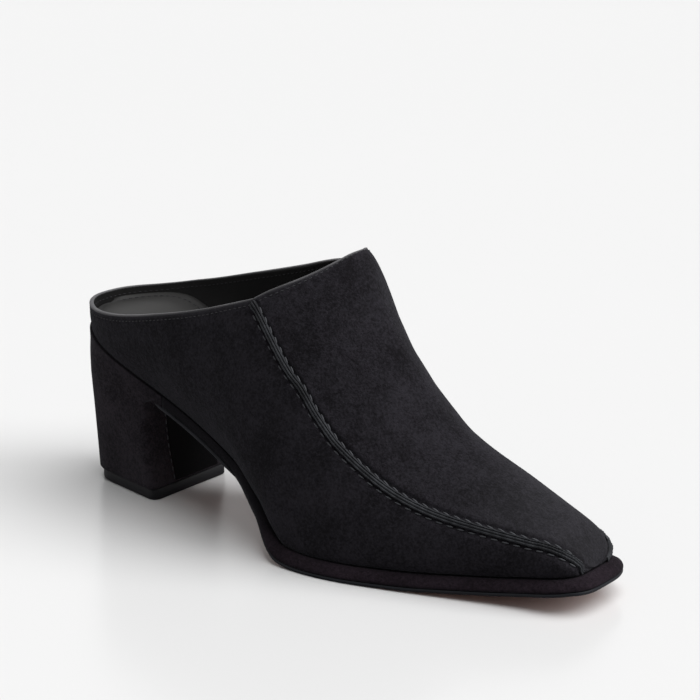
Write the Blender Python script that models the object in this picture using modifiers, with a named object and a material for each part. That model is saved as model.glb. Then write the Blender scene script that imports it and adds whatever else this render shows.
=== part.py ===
"""Heeled mule, right shoe: suede upper, padded insole, covered rand and heel, leather outsole, rubber top lift.

Metres, +Z up, toe towards +X, outer side of the foot towards -Y.
The origin is the middle of the top lift's flat underside, on the floor.
"""
import math

import bmesh
import bpy
from mathutils import Vector

# Driving sizes of the last
LENGTH = 0.241
BALL_WIDTH = 0.074
INSTEP_HEIGHT = 0.106
HEEL_HEIGHT = 0.0662
TOE_SPRING = 0.0078
BED_DEPTH = 0.0150
BED_CUP_OUTER = 0.0010
BED_CUP_INNER = 0.0026

# Thicknesses, steps and clearances
WALL = 0.0018
RAND_THICK = 0.0040
OUTSOLE_THICK = 0.0016
RAND_STEP = 0.0042
OUTSOLE_INSET = 0.0004
GAP = 0.0003
INSOLE_GAP = 0.0006
RIDGE_GAP = 0.0004
RIDGE_WIDTH = 0.0026
RIDGE_HEIGHT = 0.0012

# Heel block and top lift
LIFT_THICK = 0.0046
LIFT_BACK = 0.0034
LIFT_LENGTH = 0.0439
LIFT_WIDTH = 0.0466
LIFT_INSET = 0.0010
HEEL_PROUD = 0.0006
HEEL_CORNER = 0.0032
BREAST_BACK = 0.0412
BREAST_NOSE = 0.0508

# Where along the length the forms begin and end
PLATFORM = RAND_THICK + OUTSOLE_THICK
HEEL_RISE = HEEL_HEIGHT - PLATFORM
BACK_ROUND_END = 0.12
TOE_ROUND_START = 0.9375
TOE_CLOSE = 0.9997
THROAT_PEAK = 0.547
SEAM_TOP_OUTER = 0.445
SEAM_TOP_INNER = 0.450
SEAM_START = 0.006

# How square the plan and the profile close at the back and at the toe
BACK_SQUARE = 2.3
TOE_SQUARE = 4.0
TOE_DOME = 2.2
LIFT_SQUARE = 3.0
LIFT_ROUND_END = 0.32
LIFT_TAPER = 0.34

# The widest level stays below this share of the section's height, also where the toe closes
WIDE_LIMIT = 0.8

# Ends of the insole, as shares of the length
INSOLE_START = 0.0004
INSOLE_END = 0.984

# How round the collar's front edge turns over the instep on each side
COLLAR_TURN_OUTER = 0.50
COLLAR_TURN_INNER = 0.54

OUTER = -1
INNER = 1
FEATHER_ANGLE = -math.pi / 2
CREST_ANGLE = math.pi / 2

# Each row is one section of the last. Widths are shares of BALL_WIDTH and heights above the seat of
# INSTEP_HEIGHT. The seat rises by shares of HEEL_RISE and TOE_SPRING, and the bed by shares of BED_DEPTH.
LAST_COLUMNS = ("along", "seat_outer", "seat_inner", "wide_outer", "wide_inner", "wide_level",
                "crest", "crest_shift", "peak", "heel_rise", "toe_rise", "bed", "rand")
LAST_ROWS = (
    (0.000, 0.284, 0.311, 0.293, 0.360, 0.213, 0.563, 0.000, 1.00, 1.000, 0.00, 0.34, 0.0),
    (0.120, 0.294, 0.301, 0.360, 0.382, 0.235, 0.728, 0.000, 1.00, 0.808, 0.00, 0.96, 0.0),
    (0.245, 0.278, 0.277, 0.428, 0.403, 0.298, 0.890, 0.014, 1.00, 0.597, 0.00, 0.94, 0.0),
    (0.370, 0.311, 0.312, 0.473, 0.427, 0.284, 1.022, 0.027, 1.00, 0.375, 0.00, 0.69, 0.1),
    (0.455, 0.408, 0.386, 0.524, 0.452, 0.225, 1.062, 0.042, 1.07, 0.192, 0.00, 0.46, 0.6),
    (0.540, 0.535, 0.455, 0.550, 0.466, 0.124, 1.014, 0.076, 1.20, 0.014, 0.00, 0.30, 1.0),
    (0.580, 0.538, 0.470, 0.547, 0.469, 0.090, 0.876, 0.046, 1.32, 0.000, 0.00, 0.28, 1.0),
    (0.620, 0.527, 0.481, 0.537, 0.467, 0.065, 0.738, 0.026, 1.40, 0.000, 0.00, 0.27, 1.0),
    (0.725, 0.436, 0.442, 0.461, 0.438, 0.071, 0.452, 0.049, 1.32, 0.000, 0.05, 0.25, 1.05),
    (0.850, 0.303, 0.327, 0.331, 0.340, 0.084, 0.290, 0.046, 1.12, 0.000, 0.33, 0.24, 1.05),
    (0.945, 0.214, 0.240, 0.238, 0.250, 0.056, 0.174, 0.036, 1.00, 0.000, 0.70, 0.22, 1.10),
    (1.000, 0.184, 0.214, 0.198, 0.214, 0.045, 0.100, 0.028, 1.00, 0.000, 1.00, 0.20, 1.15),
)

# Height of the collar above the seat, as shares of INSTEP_HEIGHT, from the back to the top of the seams
COLLAR_COLUMNS = ("along", "outer", "inner")
COLLAR_ROWS = (
    (0.0000, 0.086, 0.095),
    (0.0415, 0.122, 0.131),
    (0.1240, 0.212, 0.242),
    (0.2490, 0.393, 0.438),
    (0.3520, 0.557, 0.608),
    (0.4450, 0.737, 0.782),
    (0.4500, 0.747, 0.790),
)

# Where each raised seam runs: its angle round the section, as shares of a right angle
SEAM_COLUMNS = ("along", "outer", "inner")
SEAM_ROWS = (
    (0.446, 0.398, 0.400),
    (0.485, 0.378, 0.380),
    (0.540, 0.356, 0.360),
    (0.620, 0.340, 0.335),
    (0.725, 0.326, 0.315),
    (0.850, 0.285, 0.300),
    (0.925, 0.320, 0.250),
    (0.955, 0.365, 0.190),
    (0.975, 0.410, 0.160),
    (0.988, 0.436, 0.140),
    (0.993, 0.430, 0.115),
)

# The raised seam's section: shares of RIDGE_WIDTH to each side and of RIDGE_HEIGHT
RIDGE_PROFILE = ((-0.5, 0.0), (-0.5, 0.6), (-0.2, 1.0), (0.2, 1.0), (0.5, 0.6), (0.5, 0.0))

# The rolled rand from its top down: shares of its step out of the feather edge and of its thickness
RAND_PROFILE = ((0.2, 0.0), (0.8, 0.3), (1.0, 0.6), (1.0, 1.0))

# The heel's sections from its seat down to the top lift: front edge as a share of the way from the
# breast to the nose, height of the front and of the back edge as shares of the heel's height there,
# how far the outline has turned from the seat's into the top lift's, and how much of HEEL_CORNER
# rounds the front corner
HEEL_COLUMNS = ("nose", "front_height", "back_height", "turned", "corner")
HEEL_ROWS = (
    (1.00, 1.000, 1.000, 0.00, 0.15),
    (1.00, 0.870, 0.940, 0.03, 0.15),
    (0.55, 0.884, 0.870, 0.08, 0.35),
    (0.20, 0.845, 0.790, 0.16, 0.55),
    (0.00, 0.765, 0.680, 0.28, 0.80),
    (0.12, 0.420, 0.400, 0.62, 1.00),
    (0.50, 0.000, 0.000, 1.00, 1.00),
)

# How finely the pieces are divided
BACK_STEPS = 7
QUARTER_STEPS = 10
THROAT_STEPS = 8
VAMP_STEPS = 14
TOE_STEPS = 8
SOLE_STEPS = 34
SKIN_ROWS = 14
SEAM_STEPS = 34
CORNER_STEPS = 3
INSOLE_TOE_STEPS = 4
FINE_STEPS = 48

# Steps of the slopes taken on the last's face, and how near the feather edge they are taken
SLOPE_STEP = 0.0008
EDGE_ANGLE = 0.05
SHARP_EDGE = math.radians(40)


def start_empty():
    for thing in list(bpy.data.objects):
        bpy.data.objects.remove(thing, do_unlink=True)


def column(columns, rows, name):
    """The named column of a table, as a list."""
    place = columns.index(name)
    return [row[place] for row in rows]


def slopes(xs, ys):
    """Slopes of a smooth curve through the rows that never overshoots them."""
    steps = [(ys[i + 1] - ys[i]) / (xs[i + 1] - xs[i]) for i in range(len(xs) - 1)]
    middle = []
    for before, after in zip(steps[:-1], steps[1:]):
        same_way = before * after > 0
        middle.append(2 * before * after / (before + after) if same_way else 0.0)
    return [steps[0]] + middle + [steps[-1]]


def read_table(columns, rows, name, along):
    """The named column at any place along the shoe, on a smooth curve through its rows."""
    xs = column(columns, rows, "along")
    ys = column(columns, rows, name)
    tilt = slopes(xs, ys)
    along = min(max(along, xs[0]), xs[-1])
    i = max(k for k in range(len(xs) - 1) if xs[k] <= along)
    width = xs[i + 1] - xs[i]
    t = (along - xs[i]) / width
    start = (1 + 2 * t) * (1 - t) ** 2 * ys[i] + t * (1 - t) ** 2 * width * tilt[i]
    end = t * t * (3 - 2 * t) * ys[i + 1] - t * t * (1 - t) * width * tilt[i + 1]
    return start + end


def last(name, along):
    return read_table(LAST_COLUMNS, LAST_ROWS, name, along)


def side_name(kind, side):
    return kind + ("_outer" if side == OUTER else "_inner")


def rounding(share, square):
    """1 on the straight part, closing to 0 as share goes from 0 to 1."""
    share = min(max(share, 0.0), 1.0)
    return (1 - share ** square) ** (1 / square)


def plan_closing(along):
    """How far the plan has closed at the round back and the square toe."""
    back = rounding(1 - along / BACK_ROUND_END, BACK_SQUARE)
    toe = rounding((along - TOE_ROUND_START) / (1 - TOE_ROUND_START), TOE_SQUARE)
    return back * toe


def dome(along):
    """How far the height has closed over the toe."""
    return rounding((along - TOE_ROUND_START) / (1 - TOE_ROUND_START), TOE_DOME)


def seat_height(along):
    """Height of the feather edge, where the upper meets what is under it."""
    return PLATFORM + HEEL_RISE * last("heel_rise", along) + TOE_SPRING * last("toe_rise", along)


def section(side, along):
    """Half widths and heights of one half section of the last."""
    closing = plan_closing(along)
    height = INSTEP_HEIGHT * dome(along)
    seat = seat_height(along)
    crest = seat + height * last("crest", along)
    wide = min(height * last("wide_level", along), WIDE_LIMIT * (crest - seat))
    return {
        "seat_half": BALL_WIDTH * last(side_name("seat", side), along) * closing,
        "wide_half": BALL_WIDTH * last(side_name("wide", side), along) * closing,
        "shift": BALL_WIDTH * last("crest_shift", along) * closing,
        "peak": last("peak", along),
        "seat": seat,
        "wide": seat + wide,
        "crest": crest,
    }


def skin(side, along, angle):
    """A point of the upper's outer face: angle -90 degrees is the feather edge, 0 the widest, 90 the crest."""
    at = section(side, along)
    rise = math.sin(angle)
    seat_y = side * at["seat_half"]
    wide_y = side * at["wide_half"]
    if angle < 0:
        y = wide_y + (seat_y - wide_y) * rise * rise
        z = at["wide"] + (at["wide"] - at["seat"]) * rise
    else:
        inward = max(math.cos(angle), 0.0) ** at["peak"]
        y = at["shift"] + (wide_y - at["shift"]) * inward
        z = at["wide"] + (at["crest"] - at["wide"]) * rise
    return Vector((along * LENGTH, y, z))


def skin_frame(side, along, angle):
    """The point, its two directions on the face and the normal that points out of the shoe."""
    step = SLOPE_STEP
    inside = max(angle, FEATHER_ANGLE + EDGE_ANGLE)
    here = skin(side, along, angle)
    forward = (skin(side, along + step, angle) - skin(side, along - step, angle)) / (2 * step)
    upward = (skin(side, along, inside + step) - skin(side, along, inside - step)) / (2 * step)
    out = forward.cross(upward) * -side
    return here, forward, upward, out.normalized()


def angle_at(side, along, above_seat):
    """The angle round the section at a height above the seat."""
    at = section(side, along)
    level = at["seat"] + above_seat
    if level < at["wide"]:
        return -math.asin(min((at["wide"] - level) / (at["wide"] - at["seat"]), 1.0))
    return math.asin(min((level - at["wide"]) / (at["crest"] - at["wide"]), 1.0))


def collar_angle(side, along):
    """Where the section stops: at the collar, or at the crest in front of the throat."""
    seam_top = SEAM_TOP_OUTER if side == OUTER else SEAM_TOP_INNER
    turn = COLLAR_TURN_OUTER if side == OUTER else COLLAR_TURN_INNER
    name = "outer" if side == OUTER else "inner"
    start = min(along, seam_top)
    height = INSTEP_HEIGHT * read_table(COLLAR_COLUMNS, COLLAR_ROWS, name, start)
    angle = angle_at(side, start, height)
    if along <= seam_top:
        return angle
    done = min((along - seam_top) / (THROAT_PEAK - seam_top), 1.0)
    return angle + (CREST_ANGLE - angle) * (1 - (1 - done) ** turn)


def even_angles(side, along, stop, count):
    """Angles from the feather edge to stop that cut the section into equal lengths."""
    fine = [FEATHER_ANGLE + (stop - FEATHER_ANGLE) * k / FINE_STEPS for k in range(FINE_STEPS + 1)]
    points = [skin(side, along, angle) for angle in fine]
    run = [0.0]
    for a, b in zip(points[:-1], points[1:]):
        run.append(run[-1] + (b - a).length)
    angles = []
    k = 0
    for j in range(count + 1):
        want = run[-1] * j / count
        while k < len(run) - 2 and run[k + 1] < want:
            k += 1
        share = (want - run[k]) / max(run[k + 1] - run[k], 1e-9)
        angles.append(fine[k] + (fine[k + 1] - fine[k]) * min(share, 1.0))
    return angles


def spread(start, end, steps, ease_in=False, ease_out=False):
    """Places from start to end, closer together where the form turns quickly."""
    places = []
    for i in range(1, steps + 1):
        t = i / steps
        if ease_in:
            t = 1 - math.cos(t * math.pi / 2)
        if ease_out:
            t = math.sin(t * math.pi / 2)
        places.append(start + (end - start) * t)
    return places


def skin_stations():
    places = [0.0] + spread(0.0, BACK_ROUND_END, BACK_STEPS, ease_in=True)
    places += spread(BACK_ROUND_END, SEAM_TOP_OUTER, QUARTER_STEPS)
    places += spread(SEAM_TOP_OUTER, THROAT_PEAK, THROAT_STEPS, ease_out=True)
    places += spread(THROAT_PEAK, TOE_ROUND_START, VAMP_STEPS)
    return places + spread(TOE_ROUND_START, TOE_CLOSE, TOE_STEPS, ease_out=True)


def material(name, colour, roughness):
    made = bpy.data.materials.new(name)
    made.use_nodes = True
    shader = made.node_tree.nodes["Principled BSDF"]
    shader.inputs["Base Color"].default_value = (*colour, 1.0)
    shader.inputs["Roughness"].default_value = roughness
    shader.inputs["Metallic"].default_value = 0.0
    return made


def add_object(name, points, faces, finish):
    """A named object in the shoe's own frame, hung from the empty at the origin."""
    mesh = bpy.data.meshes.new(name)
    mesh.from_pydata([tuple(p) for p in points], [], faces)
    mesh.materials.append(material(name, *finish))
    mesh.update()
    mesh.shade_smooth()
    made = bpy.data.objects.new(name, mesh)
    SHOE.objects.link(made)
    made.parent = HANG
    return made


def close_stack(name, rings, middles, finish):
    """A closed solid from rings of matching points.

    A ring is two lists, outer side and inner side, from back to front. middles gives the points
    down the middle of the top face and of the bottom face.
    """
    points = []
    faces = []
    numbers = []
    for outer, inner in rings:
        row_outer = []
        row_inner = []
        for a, b in zip(outer, inner):
            row_outer.append(len(points))
            points.append(a)
            shared = (a - b).length < 1e-7
            row_inner.append(row_outer[-1] if shared else len(points))
            if not shared:
                points.append(b)
        numbers.append((row_outer, row_inner))
    for upper_ring, lower_ring in zip(numbers[:-1], numbers[1:]):
        for top, low in zip(upper_ring, lower_ring):
            for i in range(len(top) - 1):
                faces.append((top[i], top[i + 1], low[i + 1], low[i]))
        for end in (0, -1):
            across = (upper_ring[0][end], upper_ring[1][end], lower_ring[1][end], lower_ring[0][end])
            faces.append(across)
    for ring, middle in zip((numbers[0], numbers[-1]), middles):
        first = ring[0][0] == ring[1][0]
        final = ring[0][-1] == ring[1][-1]
        row = []
        for i, point in enumerate(middle):
            at_end = (i == 0 and first) or (i == len(middle) - 1 and final)
            row.append(ring[0][i] if at_end else len(points))
            if not at_end:
                points.append(point)
        for side in ring:
            for i in range(len(row) - 1):
                faces.append((side[i], side[i + 1], row[i + 1], row[i]))
        for end in (0, -1):
            faces.append((ring[0][end], row[end], ring[1][end]))
    whole = []
    for face in faces:
        kept = [n for k, n in enumerate(face) if n != face[k - 1]]
        if len(set(kept)) > 2:
            whole.append(tuple(kept))
    made = add_object(name, points, whole, finish)
    point_out(made)
    return made


def point_out(thing):
    """Turns every face of a closed mesh outwards and keeps its sharp edges crisp."""
    work = bmesh.new()
    work.from_mesh(thing.data)
    bmesh.ops.recalc_face_normals(work, faces=work.faces)
    work.to_mesh(thing.data)
    work.free()
    thing.data.set_sharp_from_angle(angle=SHARP_EDGE)


def middle_line(outer, inner, height):
    """Points halfway between the two sides, at a height given by their place along the shoe."""
    line = []
    for a, b in zip(outer, inner):
        half = (a + b) / 2
        line.append(Vector((half.x, half.y, height(half.x / LENGTH))))
    return line


def plan_outline(side, places, out):
    """The feather edge in plan, moved out by a distance that may vary along the shoe."""
    bare = []
    for along in places:
        half = BALL_WIDTH * last(side_name("seat", side), along) * plan_closing(along)
        bare.append(Vector((along * LENGTH, side * half, 0.0)))
    moved = []
    for i, point in enumerate(bare):
        before = bare[max(i - 1, 0)]
        after = bare[min(i + 1, len(bare) - 1)]
        run = (after - before).normalized()
        normal = Vector((-run.y, run.x, 0.0)) * side
        if point.y == 0.0:
            normal = Vector((1.0 if i else -1.0, 0.0, 0.0))
        elif i == 0:
            normal = Vector((0.0, side, 0.0))
        moved.append(point + normal * out(places[i]))
    return moved


def at_height(points, height):
    return [Vector((p.x, p.y, height(p.x / LENGTH))) for p in points]


def sole_places():
    """Stations of the rand and the outsole, from the breast to the toe."""
    start = BREAST_NOSE / LENGTH
    places = [start] + spread(start, TOE_ROUND_START, SOLE_STEPS)
    return places + spread(TOE_ROUND_START, 1.0, TOE_STEPS, ease_out=True)


def slab(name, levels, finish):
    """A layer of the sole from levels, top to bottom: how far out of the feather edge, and how deep."""
    places = sole_places()
    rings = []
    for out, depth in levels:
        sides = []
        for side in (OUTER, INNER):
            line = plan_outline(side, places, out)
            line[0].x += GAP
            sides.append(at_height(line, below_seat(depth)))
        rings.append(tuple(sides))
    middles = [middle_line(*rings[0], below_seat(levels[0][1])), middle_line(*rings[-1], below_seat(levels[-1][1]))]
    return close_stack(name, rings, middles, finish)


def build_upper():
    """One hollow wall: the face between the feather edge and the collar, closed at back and toe."""
    places = skin_stations()
    points = []
    faces = []
    rows = {}
    for side in (OUTER, INNER):
        for i, along in enumerate(places):
            stop = collar_angle(side, along)
            crest_shared = side == INNER and along >= THROAT_PEAK
            ring = []
            for j, angle in enumerate(even_angles(side, along, stop, SKIN_ROWS)):
                if side == INNER and (i == 0 or (crest_shared and j == SKIN_ROWS)):
                    ring.append(rows[OUTER, i][j])
                    continue
                ring.append(len(points))
                points.append(skin(side, along, angle))
            rows[side, i] = ring
    tip = len(points)
    points.append(Vector((LENGTH, 0.0, seat_height(1.0))))
    for side in (OUTER, INNER):
        for i in range(len(places) - 1):
            here, there = rows[side, i], rows[side, i + 1]
            for j in range(SKIN_ROWS):
                face = (here[j], there[j], there[j + 1], here[j + 1])
                faces.append(face if side == OUTER else face[::-1])
        end = rows[side, len(places) - 1]
        for j in range(SKIN_ROWS):
            face = (end[j], tip, end[j + 1])
            faces.append(face if side == OUTER else face[::-1])
    made = add_object("upper", points, faces, SUEDE)
    wall = made.modifiers.new("wall", "SOLIDIFY")
    wall.thickness = WALL
    wall.offset = -1.0
    wall.use_even_offset = True
    wall.use_quality_normals = True
    return made


def beside_seam(side, along, angle, run, aside, lift):
    """A point beside the seam, aside metres across it and lift metres off the upper."""
    here, forward, upward, out = skin_frame(side, along, angle)
    across = out.cross(run).normalized() * aside
    ff, fu, uu = forward.dot(forward), forward.dot(upward), upward.dot(upward)
    af, au = across.dot(forward), across.dot(upward)
    area = ff * uu - fu * fu
    d_along = (af * uu - au * fu) / area
    d_angle = (au * ff - af * fu) / area
    moved, _, _, normal = skin_frame(side, along + d_along, angle + d_angle)
    return moved + normal * lift


def build_seam(side):
    """The raised seam on one side: a low band that follows the upper from the collar to the toe."""
    name = "outer" if side == OUTER else "inner"
    first = (SEAM_TOP_OUTER if side == OUTER else SEAM_TOP_INNER) + SEAM_START
    places = [first] + spread(first, SEAM_ROWS[-1][0], SEAM_STEPS, ease_out=True)
    path = []
    for along in places:
        angle = CREST_ANGLE * read_table(SEAM_COLUMNS, SEAM_ROWS, name, along)
        path.append((along, angle, skin(side, along, angle)))
    points = []
    for i, (along, angle, _) in enumerate(path):
        run = path[min(i + 1, len(path) - 1)][2] - path[max(i - 1, 0)][2]
        for aside, up in RIDGE_PROFILE:
            lift = RIDGE_GAP + RIDGE_HEIGHT * up
            points.append(beside_seam(side, along, angle, run, aside * RIDGE_WIDTH, lift))
    count = len(RIDGE_PROFILE)
    faces = [tuple(range(count)), tuple(range(len(points) - count, len(points)))]
    for i in range(len(path) - 1):
        for k in range(count):
            a, b = i * count + k, i * count + (k + 1) % count
            faces.append((a, b, b + count, a + count))
    made = add_object("seam_ridge_" + name, points, faces, SUEDE)
    point_out(made)
    return made


def inside_point(side, along, above_seat):
    """A point INSOLE_GAP inside the wall at a height above the seat."""
    height = above_seat
    for _ in range(3):
        here, _, _, out = skin_frame(side, along, angle_at(side, along, max(height, 0.0)))
        inner = here - out * (WALL + INSOLE_GAP)
        height += seat_height(inner.x / LENGTH) + above_seat - inner.z
    return inner


def bed_height(along):
    return seat_height(along) + BED_DEPTH * last("bed", along)


def build_insole():
    """The padded insole: fills the bottom of the upper, cupped a little at its edge."""
    places = [INSOLE_START] + spread(INSOLE_START, BACK_ROUND_END, BACK_STEPS - 1)
    places += spread(BACK_ROUND_END, TOE_ROUND_START, SOLE_STEPS)
    places += spread(TOE_ROUND_START, INSOLE_END, INSOLE_TOE_STEPS, ease_out=True)
    rings = []
    for level in (1.0, 0.5, 0.0):
        sides = []
        for side, cup in ((OUTER, BED_CUP_OUTER), (INNER, BED_CUP_INNER)):
            line = []
            for along in places:
                edge = level * (BED_DEPTH * last("bed", along) + cup)
                line.append(inside_point(side, along, edge))
            sides.append(line)
        rings.append(tuple(sides))
    middles = [middle_line(*rings[0], bed_height), middle_line(*rings[-1], seat_height)]
    return close_stack("insole", rings, middles, LEATHER)


def rand_step(along):
    """How far the rand stands out: flush with the heel's cover at the waist, its full step round the forefoot."""
    return HEEL_PROUD + (RAND_STEP - HEEL_PROUD) * last("rand", along)


def outsole_step(along):
    return rand_step(along) - OUTSOLE_INSET


def below_seat(depth):
    """The height a fixed depth under the seat, as a function of the place along the shoe."""
    return lambda along: seat_height(along) - depth


def build_rand():
    """The covered rand: the step round the forefoot and the band along the waist."""
    levels = []
    for share, depth in RAND_PROFILE:
        levels.append((lambda along, share=share: share * rand_step(along), GAP + (RAND_THICK - GAP) * depth))
    return slab("rand", levels, RAND_SUEDE)


def build_outsole():
    """The thin leather outsole, flat under the ball and sprung at the toe."""
    return slab("outsole", ((outsole_step, RAND_THICK + GAP), (outsole_step, PLATFORM)), SOLE_LEATHER)


def lift_half(share):
    """Half width of the top lift from its round back to its breast."""
    half = LIFT_WIDTH / 2
    back = rounding(1 - share / LIFT_ROUND_END, LIFT_SQUARE)
    return half * (1 - LIFT_TAPER * (1 - share)) * back


def block_outline(side, back, front, half_at, corner=HEEL_CORNER):
    """Half of a D-shaped outline, with its front corner rounded."""
    line = []
    run = front - corner - back
    for share in [0.0] + spread(0.0, 0.5, BACK_STEPS, ease_in=True) + spread(0.5, 1.0, 4):
        x = back + run * share
        line.append(Vector((x, side * half_at((x - back) / (front - back)), 0.0)))
    edge = abs(line[-1].y)
    for turn in spread(0.0, math.pi / 2, CORNER_STEPS):
        x = front - corner * (1 - math.sin(turn))
        line.append(Vector((x, side * (edge - corner * (1 - math.cos(turn))), 0.0)))
    return line


def build_heel():
    """The covered heel block: its seat follows the upper, its breast curls into the waist."""
    floor = LIFT_THICK + GAP
    rings = []
    for nose, front_height, back_height, turned, corner in HEEL_ROWS:
        front = BREAST_BACK + (BREAST_NOSE - BREAST_BACK) * nose
        proud = HEEL_PROUD * (1 - turned)
        back = LIFT_BACK * turned - proud
        sides = []
        for side in (OUTER, INNER):
            def half_at(share):
                along = share * BREAST_NOSE / LENGTH
                seat = BALL_WIDTH * last(side_name("seat", side), along) * plan_closing(along)
                return seat + proud * (share > 0) + (lift_half(share) - seat) * turned
            line = []
            for point in block_outline(side, back, front, half_at, corner * HEEL_CORNER):
                along = point.x / LENGTH
                seat = seat_height(along) - GAP - floor
                share = (point.x - back) / (front - back)
                height = back_height + (front_height - back_height) * share * share
                line.append(Vector((point.x, point.y, floor + seat * height)))
            sides.append(line)
        rings.append(tuple(sides))
    middles = [middle_line(*rings[0], below_seat(GAP)), middle_line(*rings[-1], lambda along: floor)]
    return close_stack("heel", rings, middles, SUEDE)


def build_top_lift():
    """The rubber top lift, set in a little all round under the heel."""
    back = LIFT_BACK + LIFT_INSET
    front = LIFT_BACK + LIFT_LENGTH - LIFT_INSET
    rings = []
    for height in (LIFT_THICK, 0.0):
        sides = []
        for side in (OUTER, INNER):
            line = block_outline(side, back, front, lambda share: lift_half(share) - LIFT_INSET * (share > 0))
            sides.append([Vector((p.x, p.y, height)) for p in line])
        rings.append(tuple(sides))
    middles = [middle_line(*rings[0], lambda along: LIFT_THICK), middle_line(*rings[1], lambda along: 0.0)]
    return close_stack("top_lift", rings, middles, RUBBER)


SUEDE = ((0.012, 0.012, 0.015), 0.95)
RAND_SUEDE = ((0.016, 0.013, 0.015), 0.95)
LEATHER = ((0.045, 0.043, 0.042), 0.55)
SOLE_LEATHER = ((0.42, 0.22, 0.16), 0.55)
RUBBER = ((0.014, 0.016, 0.018), 0.60)

start_empty()
SHOE = bpy.data.collections.new("heeled_mule")
bpy.context.scene.collection.children.link(SHOE)
HANG = bpy.data.objects.new("shoe_origin", None)
SHOE.objects.link(HANG)
HANG.location = (-(LIFT_BACK + LIFT_LENGTH / 2), 0.0, 0.0)

build_upper()
build_insole()
build_rand()
build_outsole()
build_heel()
build_top_lift()
build_seam(OUTER)
build_seam(INNER)
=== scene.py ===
"""Heeled mule, right shoe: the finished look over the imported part.

Metres, +Z up, toe towards +X, outer side of the foot towards -Y.
The origin is the middle of the top lift's underside.
The sizes and tables of the last are the source's own, repeated here because this script stands alone.
"""
import math

import bmesh
import bpy
import numpy as np
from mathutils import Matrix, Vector


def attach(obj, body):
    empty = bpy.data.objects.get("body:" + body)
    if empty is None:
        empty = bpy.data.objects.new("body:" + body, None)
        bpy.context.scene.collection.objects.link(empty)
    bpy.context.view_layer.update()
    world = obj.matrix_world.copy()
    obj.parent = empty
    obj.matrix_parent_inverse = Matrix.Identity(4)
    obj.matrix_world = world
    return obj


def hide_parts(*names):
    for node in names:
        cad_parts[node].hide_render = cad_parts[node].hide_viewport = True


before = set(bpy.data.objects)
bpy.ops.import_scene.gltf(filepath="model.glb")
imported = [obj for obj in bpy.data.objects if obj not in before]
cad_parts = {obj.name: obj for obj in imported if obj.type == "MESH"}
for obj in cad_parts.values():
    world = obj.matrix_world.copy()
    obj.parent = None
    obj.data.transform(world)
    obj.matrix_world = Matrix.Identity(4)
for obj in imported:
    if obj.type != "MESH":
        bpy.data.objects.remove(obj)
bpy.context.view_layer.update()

# Driving sizes of the last
LENGTH = 0.241
BALL_WIDTH = 0.074
INSTEP_HEIGHT = 0.106
HEEL_HEIGHT = 0.0662
TOE_SPRING = 0.0078
BED_DEPTH = 0.0150
BED_CUP_OUTER = 0.0010
BED_CUP_INNER = 0.0026

# Thicknesses, steps and clearances
WALL = 0.0018
SUEDE_THICK = 0.0009
RAND_THICK = 0.0040
OUTSOLE_THICK = 0.0016
RAND_STEP = 0.0042
OUTSOLE_INSET = 0.0004
GAP = 0.0003
INSOLE_GAP = 0.0003

# Heel block and top lift
LIFT_THICK = 0.0046
LIFT_BACK = 0.0034
LIFT_LENGTH = 0.0439
LIFT_WIDTH = 0.0466
LIFT_INSET = 0.0010
HEEL_PROUD = 0.0006
HEEL_CORNER = 0.0032
BREAST_BACK = 0.0412
BREAST_NOSE = 0.0508
ORIGIN_BACK = LIFT_BACK + LIFT_LENGTH / 2

# Where along the length the forms begin and end
PLATFORM = RAND_THICK + OUTSOLE_THICK
HEEL_RISE = HEEL_HEIGHT - PLATFORM
BACK_ROUND_END = 0.12
TOE_ROUND_START = 0.9375
TOE_CLOSE = 0.9999
THROAT_PEAK = 0.547
SEAM_TOP_OUTER = 0.445
SEAM_TOP_INNER = 0.450

# How square the plan and the profile close
BACK_SQUARE = 2.3
TOE_SQUARE = 4.0
TOE_DOME = 2.2
LIFT_SQUARE = 3.0
LIFT_ROUND_END = 0.32
LIFT_TAPER = 0.34
WIDE_LIMIT = 0.8
COLLAR_TURN_OUTER = 0.50
COLLAR_TURN_INNER = 0.54

OUTER = -1
INNER = 1
FEATHER_ANGLE = -math.pi / 2
CREST_ANGLE = math.pi / 2
SLOPE_STEP = 0.0008
EDGE_ANGLE = 0.05

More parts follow.
